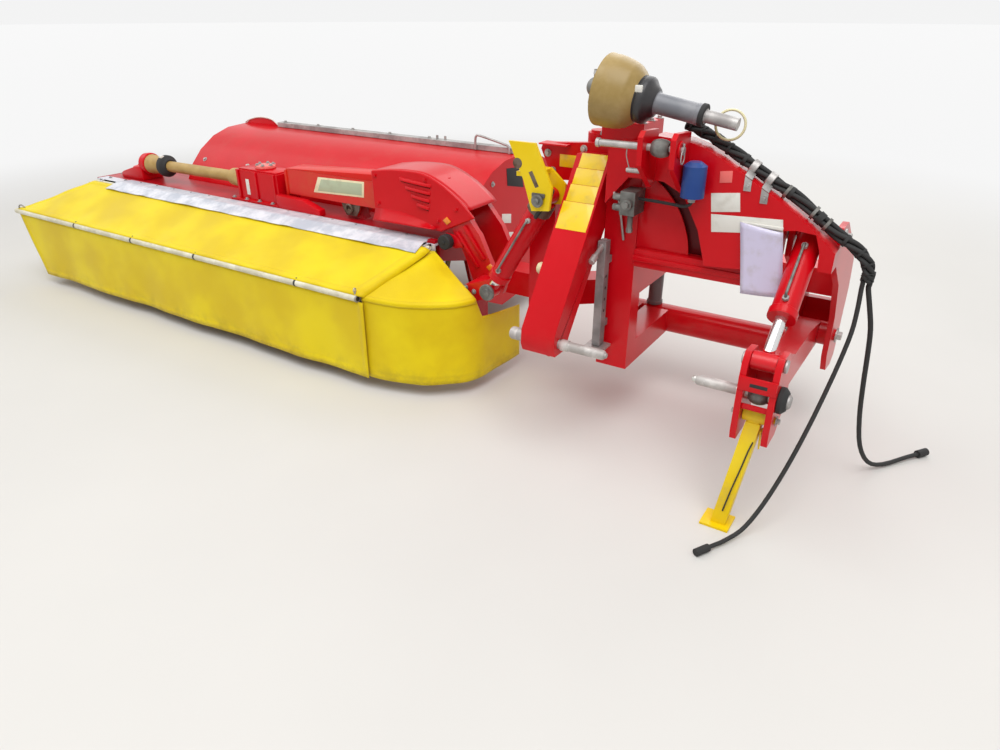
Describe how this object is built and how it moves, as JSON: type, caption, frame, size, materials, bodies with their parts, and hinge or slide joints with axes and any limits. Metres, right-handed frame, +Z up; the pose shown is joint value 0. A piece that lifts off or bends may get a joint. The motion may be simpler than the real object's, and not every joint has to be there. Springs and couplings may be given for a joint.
{
  "type": "disc mower",
  "caption": "Rear three-point disc mower with side cutterbar under a cloth guard, tined conditioner under a rounded hood, lift boom, hitch frame, parking leg and hoses.",
  "frame": {"origin": "on the ground under the middle of the machine's box", "axes": "+X from the cutterbar's outer end to the hitch frame, +Y rearward, +Z up"},
  "size_m": [5.4732, 2.1874, 1.5513],
  "materials": {
    "red_paint": "gloss",
    "dark_red_paint": "satin",
    "yellow_paint": "gloss",
    "zinc_steel": "satin",
    "rod_chrome": "polished",
    "tan_plastic": "matte",
    "yellow_cloth": "satin",
    "black_rubber": "matte",
    "bar_steel": "satin",
    "rotor_paint": "satin",
    "blue_paint": "gloss",
    "valve_steel": "satin",
    "disc_steel": "satin"
  },
  "bodies": {
    "headstock": {"headstock": "red_paint", "link_ears": "red_paint", "head_gearbox": "red_paint", "left_strut": "red_paint", "left_pin": "zinc_steel", "top_pin": "zinc_steel", "accumulator": "blue_paint", "valve_block": "valve_steel", "hose_bundle": "black_rubber", "left_stand": "zinc_steel", "pto_joint": "zinc_steel", "hose_a": "black_rubber", "hose_a_tip": "black_rubber", "hose_b": "black_rubber", "hose_b_tip": "black_rubber"},
    "stand_leg": {"stand_leg": "zinc_steel"},
    "pto_half_shaft": {"pto_guard": "tan_plastic", "pto_shaft": "zinc_steel"},
    "right_arm": {"right_arm": "red_paint", "right_pin": "zinc_steel"},
    "arm_barrel": {"arm_barrel": "red_paint"},
    "arm_rod": {"arm_rod": "rod_chrome"},
    "parking_leg": {"parking_leg": "yellow_paint"},
    "swing_frame": {"swing_frame": "dark_red_paint", "lift_bracket": "yellow_paint"},
    "lift_barrel": {"lift_barrel": "red_paint"},
    "lift_rod": {"lift_rod": "rod_chrome"},
    "boom": {"boom": "red_paint", "boom_cover": "red_paint"},
    "mower": {"cutterbar": "bar_steel", "mower_frame": "red_paint", "deck": "zinc_steel", "mower_gearbox": "red_paint", "cross_shaft": "tan_plastic", "outer_gearbox": "red_paint", "hood": "red_paint", "hood_rail": "zinc_steel", "swath_boards": "dark_red_paint", "inner_cloth": "yellow_cloth"},
    "rotor": {"rotor": "rotor_paint"},
    "front_guard": {"front_guard": "zinc_steel", "front_canopy": "yellow_cloth", "front_cloth": "yellow_cloth"},
    "outer_guard": {"outer_guard": "zinc_steel", "outer_cloth": "yellow_cloth"},
    "disc_1": {"disc_1": "disc_steel"},
    "disc_2": {"disc_2": "disc_steel"},
    "disc_3": {"disc_3": "disc_steel"},
    "disc_4": {"disc_4": "disc_steel"},
    "disc_5": {"disc_5": "disc_steel"},
    "disc_6": {"disc_6": "disc_steel"},
    "disc_7": {"disc_7": "disc_steel"}
  },
  "joints": [
    {"name": "break_back", "type": "hinge", "parent": "headstock", "child": "swing_frame", "pos_m": [1.488, -0.1, 0.5], "axis": [0, 0, -1], "range_deg": [0, 15]},
    {"name": "boom_lift", "type": "hinge", "parent": "swing_frame", "child": "boom", "pos_m": [0.888, -0.265, 0.48], "axis": [0, 1, 0], "range_deg": [0, 90]},
    {"name": "mower_tilt", "type": "hinge", "parent": "boom", "child": "mower", "pos_m": [-0.042, -0.25, 0.7], "axis": [0, -1, 0], "range_deg": [-5, 3]},
    {"name": "front_guard_fold", "type": "hinge", "parent": "mower", "child": "front_guard", "pos_m": [-0.892, -0.462, 0.637], "axis": [-1, 0, 0], "range_deg": [0, 36]},
    {"name": "outer_guard_fold", "type": "hinge", "parent": "mower", "child": "outer_guard", "pos_m": [-2.4, -0.18, 0.6], "axis": [0, 1, 0], "range_deg": [0, 60]},
    {"name": "disc_1_spin", "type": "hinge", "parent": "mower", "child": "disc_1", "pos_m": [0.358, -0.28, 0.09], "axis": [0, 0, 1], "continuous": true},
    {"name": "rotor_spin", "type": "hinge", "parent": "mower", "child": "rotor", "pos_m": [-0.547, 0.32, 0.37], "axis": [1, 0, 0], "continuous": true},
    {"name": "arm_lift", "type": "hinge", "parent": "headstock", "child": "right_arm", "pos_m": [2.333, -0.04, 0.45], "axis": [-1, 0, 0], "range_deg": [-8, 8]},
    {"name": "arm_barrel_tilt", "type": "hinge", "parent": "headstock", "child": "arm_barrel", "pos_m": [2.333, -0.45, 0.975], "axis": [-1, 0, 0], "range_deg": [-10, 10]},
    {"name": "arm_rod_slide", "type": "slide", "parent": "arm_barrel", "child": "arm_rod", "axis": [0, -0.7889, -0.6146], "range_m": [-0.1, 0.1]},
    {"name": "parking_leg_fold", "type": "hinge", "parent": "right_arm", "child": "parking_leg", "pos_m": [2.333, -0.875, 0.43], "axis": [-1, 0, 0], "range_deg": [0, 90]},
    {"name": "left_stand_slide", "type": "slide", "parent": "headstock", "child": "stand_leg", "axis": [0, 0, -1], "range_m": [0, 0.385]},
    {"name": "pto_swing", "type": "hinge", "parent": "headstock", "child": "pto_half_shaft", "pos_m": [1.51336, -0.58, 1.43111], "axis": [0, 0, -1], "range_deg": [0, 90]},
    {"name": "lift_barrel_tilt", "type": "hinge", "parent": "swing_frame", "child": "lift_barrel", "pos_m": [1.331, -0.6, 1.007], "axis": [0, 1, 0], "range_deg": [-8, 2]},
    {"name": "lift_rod_slide", "type": "slide", "parent": "lift_barrel", "child": "lift_rod", "axis": [-0.5145, 0, -0.8575], "range_m": [-0.001, 0.262]},
    {"name": "disc_2_spin", "type": "hinge", "parent": "mower", "child": "disc_2", "pos_m": [-0.042, -0.28, 0.09], "axis": [0, 0, 1], "continuous": true},
    {"name": "disc_3_spin", "type": "hinge", "parent": "mower", "child": "disc_3", "pos_m": [-0.442, -0.28, 0.09], "axis": [0, 0, 1], "continuous": true},
    {"name": "disc_4_spin", "type": "hinge", "parent": "mower", "child": "disc_4", "pos_m": [-0.842, -0.28, 0.09], "axis": [0, 0, 1], "continuous": true},
    {"name": "disc_5_spin", "type": "hinge", "parent": "mower", "child": "disc_5", "pos_m": [-1.242, -0.28, 0.09], "axis": [0, 0, 1], "continuous": true},
    {"name": "disc_6_spin", "type": "hinge", "parent": "mower", "child": "disc_6", "pos_m": [-1.642, -0.28, 0.09], "axis": [0, 0, 1], "continuous": true},
    {"name": "disc_7_spin", "type": "hinge", "parent": "mower", "child": "disc_7", "pos_m": [-2.042, -0.28, 0.09], "axis": [0, 0, 1], "continuous": true}
  ],
  "couplings": [
    {"joint": "rotor_spin", "follows": "disc_1_spin", "ratio": 0.3},
    {"joint": "arm_barrel_tilt", "follows": "arm_lift", "ratio": 1.02},
    {"joint": "arm_rod_slide", "follows": "arm_lift", "m_per_rad": -0.666},
    {"joint": "lift_barrel_tilt", "follows": "boom_lift", "ratio": -0.06},
    {"joint": "lift_rod_slide", "follows": "boom_lift", "m_per_rad": 0.165},
    {"joint": "disc_2_spin", "follows": "disc_1_spin", "ratio": -1},
    {"joint": "disc_3_spin", "follows": "disc_1_spin", "ratio": 1},
    {"joint": "disc_4_spin", "follows": "disc_1_spin", "ratio": -1},
    {"joint": "disc_5_spin", "follows": "disc_1_spin", "ratio": 1},
    {"joint": "disc_6_spin", "follows": "disc_1_spin", "ratio": -1},
    {"joint": "disc_7_spin", "follows": "disc_1_spin", "ratio": 1}
  ]
}
